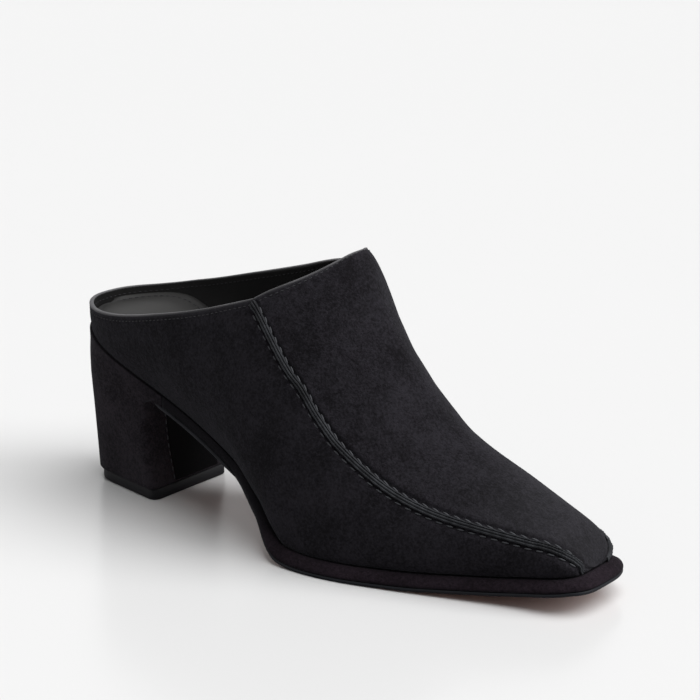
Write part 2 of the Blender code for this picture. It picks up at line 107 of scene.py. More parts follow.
LAST_COLUMNS = ("along", "seat_outer", "seat_inner", "wide_outer", "wide_inner", "wide_level",
                "crest", "crest_shift", "peak", "heel_rise", "toe_rise", "bed", "rand")
LAST_ROWS = (
    (0.000, 0.284, 0.311, 0.293, 0.360, 0.213, 0.563, 0.000, 1.00, 1.000, 0.00, 0.34, 0.0),
    (0.120, 0.294, 0.301, 0.360, 0.382, 0.235, 0.728, 0.000, 1.00, 0.808, 0.00, 0.96, 0.0),
    (0.245, 0.278, 0.277, 0.428, 0.403, 0.298, 0.890, 0.014, 1.00, 0.597, 0.00, 0.94, 0.0),
    (0.370, 0.311, 0.312, 0.473, 0.427, 0.284, 1.022, 0.027, 1.00, 0.375, 0.00, 0.69, 0.1),
    (0.455, 0.408, 0.386, 0.524, 0.452, 0.225, 1.062, 0.042, 1.07, 0.192, 0.00, 0.46, 0.6),
    (0.540, 0.535, 0.455, 0.550, 0.466, 0.124, 1.014, 0.076, 1.20, 0.014, 0.00, 0.30, 1.0),
    (0.580, 0.538, 0.470, 0.547, 0.469, 0.090, 0.876, 0.046, 1.32, 0.000, 0.00, 0.28, 1.0),
    (0.620, 0.527, 0.481, 0.537, 0.467, 0.065, 0.738, 0.026, 1.40, 0.000, 0.00, 0.27, 1.0),
    (0.725, 0.436, 0.442, 0.461, 0.438, 0.071, 0.452, 0.049, 1.32, 0.000, 0.05, 0.25, 1.05),
    (0.850, 0.303, 0.327, 0.331, 0.340, 0.084, 0.290, 0.046, 1.12, 0.000, 0.33, 0.24, 1.05),
    (0.945, 0.214, 0.240, 0.238, 0.250, 0.056, 0.174, 0.036, 1.00, 0.000, 0.70, 0.22, 1.10),
    (1.000, 0.184, 0.214, 0.198, 0.214, 0.045, 0.100, 0.028, 1.00, 0.000, 1.00, 0.20, 1.15),
)
COLLAR_COLUMNS = ("along", "outer", "inner")
COLLAR_ROWS = (
    (0.0000, 0.086, 0.095),
    (0.0415, 0.122, 0.131),
    (0.1240, 0.212, 0.242),
    (0.2490, 0.393, 0.438),
    (0.3520, 0.557, 0.608),
    (0.4450, 0.737, 0.782),
    (0.4500, 0.747, 0.790),
)
SEAM_COLUMNS = ("along", "outer", "inner")
SEAM_ROWS = (
    (0.446, 0.398, 0.400),
    (0.485, 0.378, 0.380),
    (0.540, 0.356, 0.360),
    (0.620, 0.340, 0.335),
    (0.725, 0.326, 0.315),
    (0.850, 0.285, 0.300),
    (0.925, 0.320, 0.250),
    (0.955, 0.365, 0.190),
    (0.975, 0.410, 0.160),
    (0.988, 0.436, 0.140),
    (0.9945, 0.430, 0.100),
    (0.9975, 0.330, 0.000),
    (0.9988, 0.050, -0.250),
)
HEEL_COLUMNS = ("along", "nose", "front_height", "back_height", "turned", "corner")
HEEL_ROWS = (
    (0.0, 1.00, 1.000, 1.000, 0.00, 0.15),
    (1.0, 1.00, 0.870, 0.940, 0.03, 0.15),
    (2.0, 0.55, 0.884, 0.870, 0.08, 0.35),
    (3.0, 0.20, 0.845, 0.790, 0.16, 0.55),
    (4.0, 0.00, 0.765, 0.680, 0.28, 0.80),
    (5.0, 0.12, 0.420, 0.400, 0.62, 1.00),
    (6.0, 0.50, 0.000, 0.000, 1.00, 1.00),
)

# The raised seam: half the band's width, its height and where its two stitch rows lie.
# SEAM_BEND is the share of the length over which it turns up to just under the collar.
RIDGE_HALF = 0.0013
RIDGE_HEIGHT = 0.0010
ROW_OUTSIDE = 0.0023
ROW_INSIDE = 0.0015
SEAM_BEND = 0.05
COLLAR_TUCK = 0.02
LOW_ROW_END = 0.9930
HIGH_ROW_END = 0.9860
HIGH_ROW_LIFT = 0.00030

# The collar: its rounded edge's height, and how far from the back its two sides are made to meet
EDGE_HEIGHT = 0.00045
EDGE_SUNK = 0.0004
BACK_STEADY = 0.008
COLLAR_MEET = 0.06

# Stitches: pitch, length and thread width of each kind, in metres
SEAM_LOW_STITCH = (0.0042, 0.0027, 0.00066)
SEAM_HIGH_STITCH = (0.0042, 0.0029, 0.00070)
COLLAR_STITCH = (0.0023, 0.0014, 0.00042)
INSOLE_STITCH = (0.0026, 0.0017, 0.00045)
BREAST_STITCH = (0.0031, 0.0021, 0.00055)
LOW_SLANT = 0.08
HIGH_SLANT = -0.22
STITCH_SUNK = 0.00012


# The last, as functions of the place along the shoe
def column(columns, rows, name):
    place = columns.index(name)
    return np.array([row[place] for row in rows])


def slopes(xs, ys):
    steps = np.diff(ys) / np.diff(xs)
    before, after = steps[:-1], steps[1:]
    total = np.where(np.abs(before + after) < 1e-12, 1.0, before + after)
    middle = np.where(before * after > 0, 2 * before * after / total, 0.0)
    return np.concatenate(([steps[0]], middle, [steps[-1]]))


def read_table(columns, rows, name, along):
    """The named column at any places along the shoe, on a smooth curve through its rows."""
    xs = column(columns, rows, "along")
    ys = column(columns, rows, name)
    tilt = slopes(xs, ys)
    along = np.clip(np.asarray(along, float), xs[0], xs[-1])
    i = np.clip(np.searchsorted(xs, along, "right") - 1, 0, len(xs) - 2)
    width = xs[i + 1] - xs[i]
    t = (along - xs[i]) / width
    start = (1 + 2 * t) * (1 - t) ** 2 * ys[i] + t * (1 - t) ** 2 * width * tilt[i]
    end = t * t * (3 - 2 * t) * ys[i + 1] - t * t * (1 - t) * width * tilt[i + 1]
    return start + end


def last(name, along):
    return read_table(LAST_COLUMNS, LAST_ROWS, name, along)


def side_name(kind, side):
    return kind + ("_outer" if side == OUTER else "_inner")


def rounding(share, square):
    share = np.clip(share, 0.0, 1.0)
    return (1 - share ** square) ** (1 / square)


def toe_share(along):
    return (np.asarray(along) - TOE_ROUND_START) / (1 - TOE_ROUND_START)


def plan_closing(along):
    back = rounding(1 - np.asarray(along) / BACK_ROUND_END, BACK_SQUARE)
    return back * rounding(toe_share(along), TOE_SQUARE)


def seat_height(along):
    return PLATFORM + HEEL_RISE * last("heel_rise", along) + TOE_SPRING * last("toe_rise", along)


def seat_half(side, along):
    return BALL_WIDTH * last(side_name("seat", side), along) * plan_closing(along)


def section(side, along):
    closing = plan_closing(along)
    height = INSTEP_HEIGHT * rounding(toe_share(along), TOE_DOME)
    seat = seat_height(along)
    crest = seat + height * last("crest", along)
    wide = np.minimum(height * last("wide_level", along), WIDE_LIMIT * (crest - seat))
    return {
        "seat_half": BALL_WIDTH * last(side_name("seat", side), along) * closing,
        "wide_half": BALL_WIDTH * last(side_name("wide", side), along) * closing,
        "shift": BALL_WIDTH * last("crest_shift", along) * closing,
        "peak": last("peak", along),
        "seat": seat,
        "wide": seat + wide,
        "crest": crest,
    }


def skin(side, along, angle):
    """Points of the upper's outer face: -90 degrees is the feather edge, 0 the widest, 90 the crest."""
    at = section(side, along)
    rise = np.sin(angle)
    seat_y = side * at["seat_half"]
    wide_y = side * at["wide_half"]
    low_y = wide_y + (seat_y - wide_y) * rise * rise
    low_z = at["wide"] + (at["wide"] - at["seat"]) * rise
    inward = np.maximum(np.cos(angle), 0.0) ** at["peak"]
    high_y = at["shift"] + (wide_y - at["shift"]) * inward
    high_z = at["wide"] + (at["crest"] - at["wide"]) * rise
    below = angle < 0
    x = np.asarray(along) * LENGTH - ORIGIN_BACK + 0 * rise
    return np.stack((x, np.where(below, low_y, high_y), np.where(below, low_z, high_z)), -1)


def unit(vectors):
    size = np.linalg.norm(vectors, axis=-1, keepdims=True)
    return vectors / np.maximum(size, 1e-12)


def skin_frame(side, along, angle):
    """The points, their two directions on the face and the normals that point out of the shoe."""
    step = SLOPE_STEP
    inside = np.clip(angle, FEATHER_ANGLE + EDGE_ANGLE, CREST_ANGLE - EDGE_ANGLE / 10)
    forward = (skin(side, along + step, inside) - skin(side, along - step, inside)) / (2 * step)
    upward = (skin(side, along, inside + step) - skin(side, along, inside - step)) / (2 * step)
    return skin(side, along, angle), forward, upward, unit(np.cross(forward, upward) * -side)


def angle_at(side, along, above_seat):
    at = section(side, along)
    level = at["seat"] + above_seat
    low = -np.arcsin(np.clip((at["wide"] - level) / (at["wide"] - at["seat"]), -1, 1))
    high = np.arcsin(np.clip((level - at["wide"]) / (at["crest"] - at["wide"]), -1, 1))
    return np.where(level < at["wide"], low, high)


def collar_angle(side, along):
    """Where the section stops: at the collar, or at the crest in front of the throat."""
    seam_top = SEAM_TOP_OUTER if side == OUTER else SEAM_TOP_INNER
    turn = COLLAR_TURN_OUTER if side == OUTER else COLLAR_TURN_INNER
    name = "outer" if side == OUTER else "inner"
    start = np.minimum(along, seam_top)
    own = read_table(COLLAR_COLUMNS, COLLAR_ROWS, name, start)
    both = sum(read_table(COLLAR_COLUMNS, COLLAR_ROWS, each, start) for each in COLLAR_COLUMNS[1:]) / 2
    height = INSTEP_HEIGHT * (both + (own - both) * smooth_step(start, 0.0, COLLAR_MEET))
    angle = angle_at(side, start, height)
    done = np.clip((along - seam_top) / (THROAT_PEAK - seam_top), 0.0, 1.0)
    return angle + (CREST_ANGLE - angle) * (1 - (1 - done) ** turn)


def seam_angle(side, along):
    name = "outer" if side == OUTER else "inner"
    return CREST_ANGLE * read_table(SEAM_COLUMNS, SEAM_ROWS, name, along)


def stretch(start, end, steps, ease_in=False, ease_out=False):
    """Places after start up to end, closer together where the form turns quickly."""
    t = np.arange(1, steps + 1) / steps
    if ease_in:
        t = 1 - np.cos(t * math.pi / 2)
    if ease_out:
        t = np.sin(t * math.pi / 2)
    return start + (end - start) * t


def smooth_step(value, low, high):
    t = np.clip((value - low) / (high - low), 0.0, 1.0)
    return t * t * (3 - 2 * t)


def bump_at(value, centre, half):
    return np.exp(-((value - centre) / half) ** 2)


# Nodes and materials
def new_material(name):
    made = bpy.data.materials.new(name)
    made.use_nodes = True
    return made, made.node_tree, made.node_tree.nodes["Principled BSDF"]


def add_node(tree, kind, **values):
    made = tree.nodes.new(kind)
    for name, value in values.items():
        setattr(made, name, value)
    return made


def noise(tree, place, scale, detail=3.0, roughness=0.5):
    made = add_node(tree, "ShaderNodeTexNoise")
    made.inputs["Scale"].default_value = scale
    made.inputs["Detail"].default_value = detail
    made.inputs["Roughness"].default_value = roughness
    tree.links.new(place, made.inputs["Vector"])
    return made.outputs["Fac"]


def spread_out(tree, value, low, high):
    """A value's range from low to high, widened to 0 to 1."""
    made = add_node(tree, "ShaderNodeMapRange", interpolation_type="SMOOTHSTEP")
    made.inputs["From Min"].default_value = low
    made.inputs["From Max"].default_value = high
    tree.links.new(value, made.inputs["Value"])
    return made.outputs["Result"]


def blend_colour(tree, share, dark, light):
    """Two colours mixed by share; each is a colour or another node's output."""
    made = add_node(tree, "ShaderNodeMix", data_type="RGBA")
    tree.links.new(share, made.inputs["Factor"])
    for socket, colour in ((made.inputs[6], dark), (made.inputs[7], light)):
        if isinstance(colour, tuple):
            socket.default_value = (*colour, 1.0)
        else:
            tree.links.new(colour, socket)
    return made.outputs[2]


def add_bump(tree, shader, height, strength, distance, below=None):
    made = add_node(tree, "ShaderNodeBump")
    made.inputs["Strength"].default_value = strength
    made.inputs["Distance"].default_value = distance
    tree.links.new(height, made.inputs["Height"])
    if below is not None:
        tree.links.new(below, made.inputs["Normal"])
    tree.links.new(made.outputs["Normal"], shader.inputs["Normal"])
    return made.outputs["Normal"]


def attribute(tree, name):
    return add_node(tree, "ShaderNodeAttribute", attribute_name=name).outputs["Fac"]


def weigh(tree, parts):
    """The weighted sum of several values."""
    total = None
    for value, weight in parts:
        step = add_node(tree, "ShaderNodeMath", operation="MULTIPLY_ADD")
        tree.links.new(value, step.inputs[0])
        step.inputs[1].default_value = weight
        step.inputs[2].default_value = 0.0
        if total is not None:
            tree.links.new(total, step.inputs[2])
        total = step.outputs[0]
    return total


def suede(name, dark, light, rubbed_and_lit, sheen, tint=(0.85, 0.90, 1.0)):
    """Napped suede: brushed patches, flecks, a fine grain and a soft sheen; an attribute mixes in a second
    colour, for wear, for the rand's waist tone and for a painted highlight on the upper's toe.
    """
    made, tree, shader = new_material(name)
    place = add_node(tree, "ShaderNodeTexCoord").outputs["Object"]
    clouds = noise(tree, place, 60.0, 2.0, 0.4)
    patches = noise(tree, place, 190.0, 3.0, 0.5)
    brushed = noise(tree, place, 480.0, 3.0, 0.6)
    flecks = noise(tree, place, 1050.0, 2.0, 0.7)
    share = weigh(tree, ((clouds, 0.24), (patches, 0.14), (brushed, 0.20), (flecks, 0.42)))
    share = spread_out(tree, share, 0.37, 0.63)
    colour = blend_colour(tree, share, dark, light)
    colour = blend_colour(tree, attribute(tree, "rub_and_highlight"), colour, rubbed_and_lit)
    tree.links.new(colour, shader.inputs["Base Color"])
    shader.inputs["Roughness"].default_value = 0.95
    shader.inputs["Specular IOR Level"].default_value = 0.12
    shader.inputs["Sheen Weight"].default_value = sheen
    shader.inputs["Sheen Roughness"].default_value = 0.40
    shader.inputs["Sheen Tint"].default_value = (*tint, 1.0)
    soft = add_bump(tree, shader, noise(tree, place, 330.0, 4.0), 0.50, 0.0010)
    add_bump(tree, shader, noise(tree, place, 1900.0, 3.0), 0.70, 0.0004, soft)
    return made


def smooth_leather(name, dark, light, roughness, grain=0.15, coat=0.0, mark=None, marked=None, shine=0.15):
    """Smooth leather with a faint pore grain; attribute mark turns it to the second colour."""
    made, tree, shader = new_material(name)
    place = add_node(tree, "ShaderNodeTexCoord").outputs["Object"]
    cloud = spread_out(tree, noise(tree, place, 85.0, 4.0), 0.30, 0.70)
    colour = blend_colour(tree, cloud, dark, light)
    if mark:
        colour = blend_colour(tree, attribute(tree, mark), colour, marked)
    tree.links.new(colour, shader.inputs["Base Color"])
    shader.inputs["Roughness"].default_value = roughness
    shader.inputs["Specular IOR Level"].default_value = shine
    shader.inputs["Coat Weight"].default_value = coat
    shader.inputs["Coat Roughness"].default_value = 0.35
    add_bump(tree, shader, noise(tree, place, 1600.0, 3.0), grain, 0.0003)
    return made


def plain(name, colour, roughness, sheen=0.0):
    made, tree, shader = new_material(name)
    shader.inputs["Base Color"].default_value = (*colour, 1.0)
    shader.inputs["Roughness"].default_value = roughness
    shader.inputs["Specular IOR Level"].default_value = 0.15
    shader.inputs["Sheen Weight"].default_value = sheen
    return made


# Meshes
def make_piece(name, points, faces, finishes, nodes=(), face_finish=None, marks=None, sharp=None):
    """A mesh piece on the one body, merged where its sides meet, with its faces pointing out."""
    mesh = bpy.data.meshes.new(name)
    mesh.from_pydata([tuple(p) for p in points], [], faces)
    for finish in finishes:
        mesh.materials.append(finish)
    if face_finish is not None:
        mesh.polygons.foreach_set("material_index", face_finish)
    for label, values in (marks or {}).items():
        layer = mesh.attributes.new(label, "FLOAT", "POINT")
        layer.data.foreach_set("value", np.asarray(values, np.float32))
    work = bmesh.new()
    work.from_mesh(mesh)
    bmesh.ops.remove_doubles(work, verts=work.verts, dist=0.000002)
    bmesh.ops.dissolve_degenerate(work, edges=work.edges, dist=0.0000005)
    bmesh.ops.recalc_face_normals(work, faces=work.faces)
    work.to_mesh(mesh)
    work.free()
    mesh.shade_smooth()
    if sharp is not None:
        mesh.set_sharp_from_angle(angle=math.radians(sharp))
    made = bpy.data.objects.new(name, mesh)
    bpy.context.scene.collection.objects.link(made)
    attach(made, "root")
    if nodes:
        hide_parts(*nodes)
    return made


def loop_faces(rows, columns, offset=0, closed_rows=False, closed_columns=False):
    """Quads of a grid of points numbered row by row."""
    faces = []
    for i in range(rows if closed_rows else rows - 1):
        for j in range(columns if closed_columns else columns - 1):
            here = offset + i * columns
            there = offset + (i + 1) % rows * columns
            after = (j + 1) % columns
            faces.append((here + j, here + after, there + after, there + j))
    return faces


def sweep(name, path, run, out, profile, finish, nodes=(), closed=False, sharp=None):
    """A closed section of (across, up) points carried along a path; across is square to the run."""
    across = unit(np.cross(out, run))[:, None, :]
    section_points = np.asarray(profile)
    points = path[:, None, :] + across * section_points[..., 0:1]
    points = points + out[:, None, :] * section_points[..., 1:2]
    count = section_points.shape[-2]
    faces = loop_faces(len(path), count, closed_rows=closed, closed_columns=True)
    points = points.reshape(-1, 3)
    if not closed:
        faces.append(tuple(range(count)))
        faces.append(tuple(range(len(points) - count, len(points))))
    return make_piece(name, points, faces, [finish], nodes, sharp=sharp)


def stack_piece(name, rings, finishes, nodes=(), rub_and_highlight=None, cap_finish=0, sharp=None,
                crown=False):
    """A closed solid from rings of matching points, outer side and inner side.

    Both ends are capped, the last one in the finish with the number cap_finish. A crown raises the
    middle of the first one.
    """
    count = rings[0][0].shape[0]
    points = []
    for outer, inner in rings:
        points += [outer, inner[::-1]]
    ring_size = 2 * count
    faces = loop_faces(len(rings), ring_size, closed_columns=True)
    wall_faces = len(faces)
    total = len(rings) * ring_size
    first = crowned(rings[0]) if crown else middle_of(rings[0])
    for ring, middle in ((0, first), (len(rings) - 1, middle_of(rings[-1]))):
        points.append(middle)
        base = ring * ring_size
        for i in range(count - 1):
            faces.append((base + i, base + i + 1, total + i + 1, total + i))
            near = base + ring_size - 1 - i
            faces.append((near, near - 1, total + i + 1, total + i))
        faces.append((base, total, base + ring_size - 1))
        faces.append((base + count - 1, total + count - 1, base + count))
        total += count
    points = np.concatenate(points)
    marks = {"rub_and_highlight": np.zeros(len(points)) if rub_and_highlight is None else rub_and_highlight(points)}
    face_finish = np.zeros(len(faces), np.int32)
    face_finish[len(faces) - (len(faces) - wall_faces) // 2:] = cap_finish
    return make_piece(name, points, faces, finishes, nodes, face_finish, marks, sharp)


# Stitches, laid by Geometry Nodes on points that carry their run and their outward direction
def thread_tree():
    tree = bpy.data.node_groups.new("stitches", "GeometryNodeTree")
    face = tree.interface
    face.new_socket("Places", in_out="INPUT", socket_type="NodeSocketGeometry")
    face.new_socket("Stitch Length", in_out="INPUT", socket_type="NodeSocketFloat")
    face.new_socket("Thread Width", in_out="INPUT", socket_type="NodeSocketFloat")
    face.new_socket("Thread", in_out="INPUT", socket_type="NodeSocketMaterial")
    face.new_socket("Stitches", in_out="OUTPUT", socket_type="NodeSocketGeometry")
    given = tree.nodes.new("NodeGroupInput")
    result = tree.nodes.new("NodeGroupOutput")
    bead = tree.nodes.new("GeometryNodeMeshUVSphere")
    bead.inputs["Segments"].default_value = 6
    bead.inputs["Rings"].default_value = 6
    bead.inputs["Radius"].default_value = 0.5
    lay = tree.nodes.new("GeometryNodeTransform")
    lay.inputs["Rotation"].default_value = (0.0, math.pi / 2, 0.0)
    scale = tree.nodes.new("ShaderNodeCombineXYZ")
    size = tree.nodes.new("GeometryNodeTransform")
    place = tree.nodes.new("GeometryNodeInstanceOnPoints")
    along = tree.nodes.new("GeometryNodeInputNamedAttribute")
    away = tree.nodes.new("GeometryNodeInputNamedAttribute")
    along.data_type = away.data_type = "FLOAT_VECTOR"
    along.inputs["Name"].default_value = "run"
    away.inputs["Name"].default_value = "out"
    first = tree.nodes.new("FunctionNodeAlignRotationToVector")
    first.axis = "X"
    second = tree.nodes.new("FunctionNodeAlignRotationToVector")
    second.axis = "Z"
    second.pivot_axis = "X"
    whole = tree.nodes.new("GeometryNodeRealizeInstances")
    finish = tree.nodes.new("GeometryNodeSetMaterial")
    link = tree.links.new
    link(bead.outputs["Mesh"], lay.inputs["Geometry"])
    link(given.outputs["Stitch Length"], scale.inputs["X"])
    link(given.outputs["Thread Width"], scale.inputs["Y"])
    link(given.outputs["Thread Width"], scale.inputs["Z"])
    link(lay.outputs["Geometry"], size.inputs["Geometry"])
    link(scale.outputs["Vector"], size.inputs["Scale"])
    link(along.outputs["Attribute"], first.inputs["Vector"])
    link(first.outputs["Rotation"], second.inputs["Rotation"])
    link(away.outputs["Attribute"], second.inputs["Vector"])
    link(given.outputs["Places"], place.inputs["Points"])
    link(size.outputs["Geometry"], place.inputs["Instance"])
    link(second.outputs["Rotation"], place.inputs["Rotation"])
    link(place.outputs["Instances"], whole.inputs["Geometry"])
    link(whole.outputs["Geometry"], finish.inputs["Geometry"])
    link(given.outputs["Thread"], finish.inputs["Material"])
    link(finish.outputs["Geometry"], result.inputs["Stitches"])
    return tree


def lay_stitches(name, rows, kind, thread, slant=0.0):
    """One piece of stitches along rows of (points, outs); slant turns each on the face, in radians."""
    pitch, length, width = kind
    spots, runs, outs = [], [], []
    for points, normals in rows:
        steps = np.linalg.norm(np.diff(points, axis=0), axis=1)
        travelled = np.concatenate(([0.0], np.cumsum(steps)))
        count = max(int(travelled[-1] / pitch), 1)
        at = (np.arange(count) + 0.5) * travelled[-1] / count
        spot = np.stack([np.interp(at, travelled, points[:, k]) for k in range(3)], -1)
        away = unit(np.stack([np.interp(at, travelled, normals[:, k]) for k in range(3)], -1))
        ahead = np.stack([np.interp(at + pitch / 4, travelled, points[:, k]) for k in range(3)], -1)
        behind = np.stack([np.interp(at - pitch / 4, travelled, points[:, k]) for k in range(3)], -1)
        run = unit(ahead - behind)
        run = unit(run * math.cos(slant) + np.cross(away, run) * math.sin(slant))
        spots.append(spot)
        runs.append(run)
        outs.append(away)
    spots, runs, outs = (np.concatenate(part) for part in (spots, runs, outs))
    mesh = bpy.data.meshes.new(name + "_places")
    mesh.from_pydata([tuple(p) for p in spots], [], [])
    for label, values in (("run", runs), ("out", outs)):
        layer = mesh.attributes.new(label, "FLOAT_VECTOR", "POINT")
        layer.data.foreach_set("vector", values.astype(np.float32).ravel())
    places = bpy.data.objects.new(name + "_places", mesh)
    bpy.context.scene.collection.objects.link(places)
    laid = places.modifiers.new("stitches", "NODES")
    laid.node_group = THREAD_TREE
    items = THREAD_TREE.interface.items_tree
    sockets = {item.name: item.identifier for item in items if item.in_out == "INPUT"}
    laid[sockets["Stitch Length"]] = length
    laid[sockets["Thread Width"]] = width
    laid[sockets["Thread"]] = thread
    bpy.context.view_layer.update()
    ready = bpy.context.evaluated_depsgraph_get()
    whole = bpy.data.meshes.new_from_object(places.evaluated_get(ready))
    whole.name = name
    whole.shade_smooth()
    places.modifiers.remove(laid)
    bpy.data.objects.remove(places, do_unlink=True)
    made = bpy.data.objects.new(name, whole)
    bpy.context.scene.collection.objects.link(made)
    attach(made, "root")
    return made


# The upper
ROWS_LOW = 22
ROWS_BAND = 18
ROWS_HIGH = 20
BAND_HALF = 0.0046

# Soft folds where the vamp bends: place along the shoe, share of the depth and half the width
FLEX_FOLDS = ((0.655, 1.0, 0.012), (0.690, -0.7, 0.014), (0.725, 0.5, 0.016))


def upper_places():
    parts = [np.array([0.0]), stretch(0.0, BACK_ROUND_END, 24, ease_in=True)]
    parts.append(stretch(BACK_ROUND_END, SEAM_TOP_OUTER, 44))
    parts.append(stretch(SEAM_TOP_OUTER, THROAT_PEAK, 34, ease_out=True))
    parts.append(stretch(THROAT_PEAK, TOE_ROUND_START, 84))
    parts.append(stretch(TOE_ROUND_START, TOE_CLOSE, 34, ease_out=True))
    return np.concatenate(parts)


def upper_angles(side, along):
    """Angles and lengths from the feather edge of each section's rows, closer beside the raised seam."""
    stop = collar_angle(side, along)
    share = np.linspace(0.0, 1.0, 97)
    fine = FEATHER_ANGLE + (stop[:, None] - FEATHER_ANGLE) * share
    points = skin(side, along[:, None], fine)
    run = np.linalg.norm(np.diff(points, axis=1), axis=-1)
    run = np.concatenate((np.zeros((len(along), 1)), np.cumsum(run, axis=1)), axis=1)
    total = run[:, -1]
    count = ROWS_LOW + ROWS_BAND + ROWS_HIGH
    seam = seam_angle(side, along)
    angles, lengths, seam_length = [], [], []
    seam_top = SEAM_TOP_OUTER if side == OUTER else SEAM_TOP_INNER
    weight = smooth_step(along, seam_top - 0.10, seam_top)
    for k in range(len(along)):
        at_seam = np.interp(seam[k], fine[k], run[k])
        low = max(at_seam - BAND_HALF, 0.12 * total[k])
        high = min(at_seam + BAND_HALF, total[k] - min(0.0012, 0.1 * total[k]))
        low = min(low, high - 0.02 * total[k])
        even_low = total[k] * ROWS_LOW / count
        even_high = total[k] * (ROWS_LOW + ROWS_BAND) / count
        low = even_low + (low - even_low) * weight[k]
        high = even_high + (high - even_high) * weight[k]
        want = np.concatenate((np.linspace(0, low, ROWS_LOW, endpoint=False),
                               np.linspace(low, high, ROWS_BAND, endpoint=False),
                               np.linspace(high, total[k], ROWS_HIGH + 1)))
        angles.append(np.interp(want, run[k], fine[k]))
        lengths.append(want)
        seam_length.append(at_seam)
    return np.array(angles), np.array(lengths), total, np.array(seam_length)


def upper_relief(side, along, lengths, total, seam_length):
    """How far the suede stands off the last: troughs beside the seam, tucked edges and soft folds."""
    place = along[:, None] + 0 * lengths
    seam_top = SEAM_TOP_OUTER if side == OUTER else SEAM_TOP_INNER
    on_seam = smooth_step(place, seam_top - 0.006, seam_top + 0.004)
    away = lengths - seam_length[:, None]
    trough = bump_at(away, -ROW_OUTSIDE + 0.0004, 0.0009) + bump_at(away, ROW_INSIDE + 0.0004, 0.0008)
    puff = bump_at(away, -0.0042, 0.0013) + bump_at(away, 0.0040, 0.0013)
    off = on_seam * (-0.00050 * trough + 0.00016 * puff)
    off -= 0.0007 * np.exp(-lengths / 0.0007)
    from_collar = total[:, None] - lengths
    stitched = -0.00018 * bump_at(from_collar, 0.0024, 0.0007) - 0.0002 * np.exp(-from_collar / 0.0005)
    off += np.where(place < THROAT_PEAK, stitched, 0.0)
    flex = sum(share * bump_at(place, centre, half) for centre, share, half in FLEX_FOLDS)
    off += -0.0002 * flex * smooth_step(away, 0.004, 0.016)
    drape = np.sin(place * 46.0) * bump_at(lengths / total[:, None], 0.62, 0.25)
    return off + 0.00012 * drape * smooth_step(0.42 - place, 0.0, 0.10)


def upper_wear_and_highlight(side, along, lengths, total, seam_length):
    """Where the nap is lighter: wear along the collar's edge, and a painted highlight on the top of the toe.
    """
    place = along[:, None] + 0 * lengths
    from_collar = total[:, None] - lengths
    edge = np.where(place < THROAT_PEAK, np.exp(-from_collar / 0.0006), 0.0)
    above_seam = smooth_step(lengths - seam_length[:, None], -0.002, 0.004)
    # Painted highlight: the top of the toe is made lighter to stand for the light that falls on it
    toe = 0.11 * smooth_step(place, 0.76, 0.92) * above_seam
    return np.clip(0.8 * edge + toe, 0.0, 1.0)


def steady_back(along, points, out):
    """The back's normals turned evenly, because the plan curves too fast there to measure."""
    flat = out.copy()
    near = int(np.searchsorted(along, BACK_STEADY))
    for k in range(near):
        share = np.abs(points[k, ..., 1:2]) / np.maximum(np.abs(points[near, ..., 1:2]), 1e-9)
        flat[k] = out[0] * (1 - share) + out[near] * share
    return unit(flat)


def upper_grids(side, depths, relief):
    along = upper_places()
    angles, lengths, total, seam_length = upper_angles(side, along)
    places = along[:, None] + 0 * angles
    points, _, _, out = skin_frame(side, places, angles)
    out[0, :, 1] = 0.0
    out = steady_back(along, points, unit(out))
    shared = (places >= THROAT_PEAK) & (angles >= CREST_ANGLE - 1e-6)
    crest_out = out.copy()
    crest_out[..., 1] = 0.0
    out = unit(np.where(shared[..., None], crest_out, out))
    raised = upper_relief(side, along, lengths, total, seam_length) if relief else 0.0 * lengths
    rub_and_highlight = upper_wear_and_highlight(side, along, lengths, total, seam_length)
    return [points + out * (raised - depth)[..., None] for depth in depths], rub_and_highlight


def shell(name, depths, relief, finish, nodes=()):
    """A closed layer of the upper between two depths, open at the collar and underneath."""
    points, faces, rubs_and_highlights = [], [], []
    total = 0
    for side in (OUTER, INNER):
        (near, far), rub_and_highlight = upper_grids(side, depths, relief)
        rows, columns = near.shape[:2]
        size = rows * columns
        tip_near = near[-1, 0].copy()
        tip_near[1] = 0.0
        tip_far = far[-1, 0].copy()
        tip_far[1] = 0.0
        points += [near.reshape(-1, 3), far.reshape(-1, 3), tip_near[None], tip_far[None]]
        rubs_and_highlights += [rub_and_highlight.ravel(), rub_and_highlight.ravel(), np.zeros(2)]
        faces += loop_faces(rows, columns, total)
        faces += loop_faces(rows, columns, total + size)
        open_rows = int((upper_places() < THROAT_PEAK - 1e-9).sum())
        for i in range(rows - 1):
            a, b = total + i * columns, total + (i + 1) * columns
            faces.append((a, b, b + size, a + size))
            if i < open_rows:
                top, after = a + columns - 1, b + columns - 1
                faces.append((top, after, after + size, top + size))
        end = total + (rows - 1) * columns
        tip = total + 2 * size
        for j in range(columns - 1):
            faces.append((end + j, end + j + 1, tip))
            faces.append((end + size + j, end + size + j + 1, tip + 1))
        faces.append((end, tip, tip + 1, end + size))
        total += 2 * size + 2
    marks = {"rub_and_highlight": np.concatenate(rubs_and_highlights)}
    return make_piece(name, np.concatenate(points), faces, [finish], nodes, marks=marks)


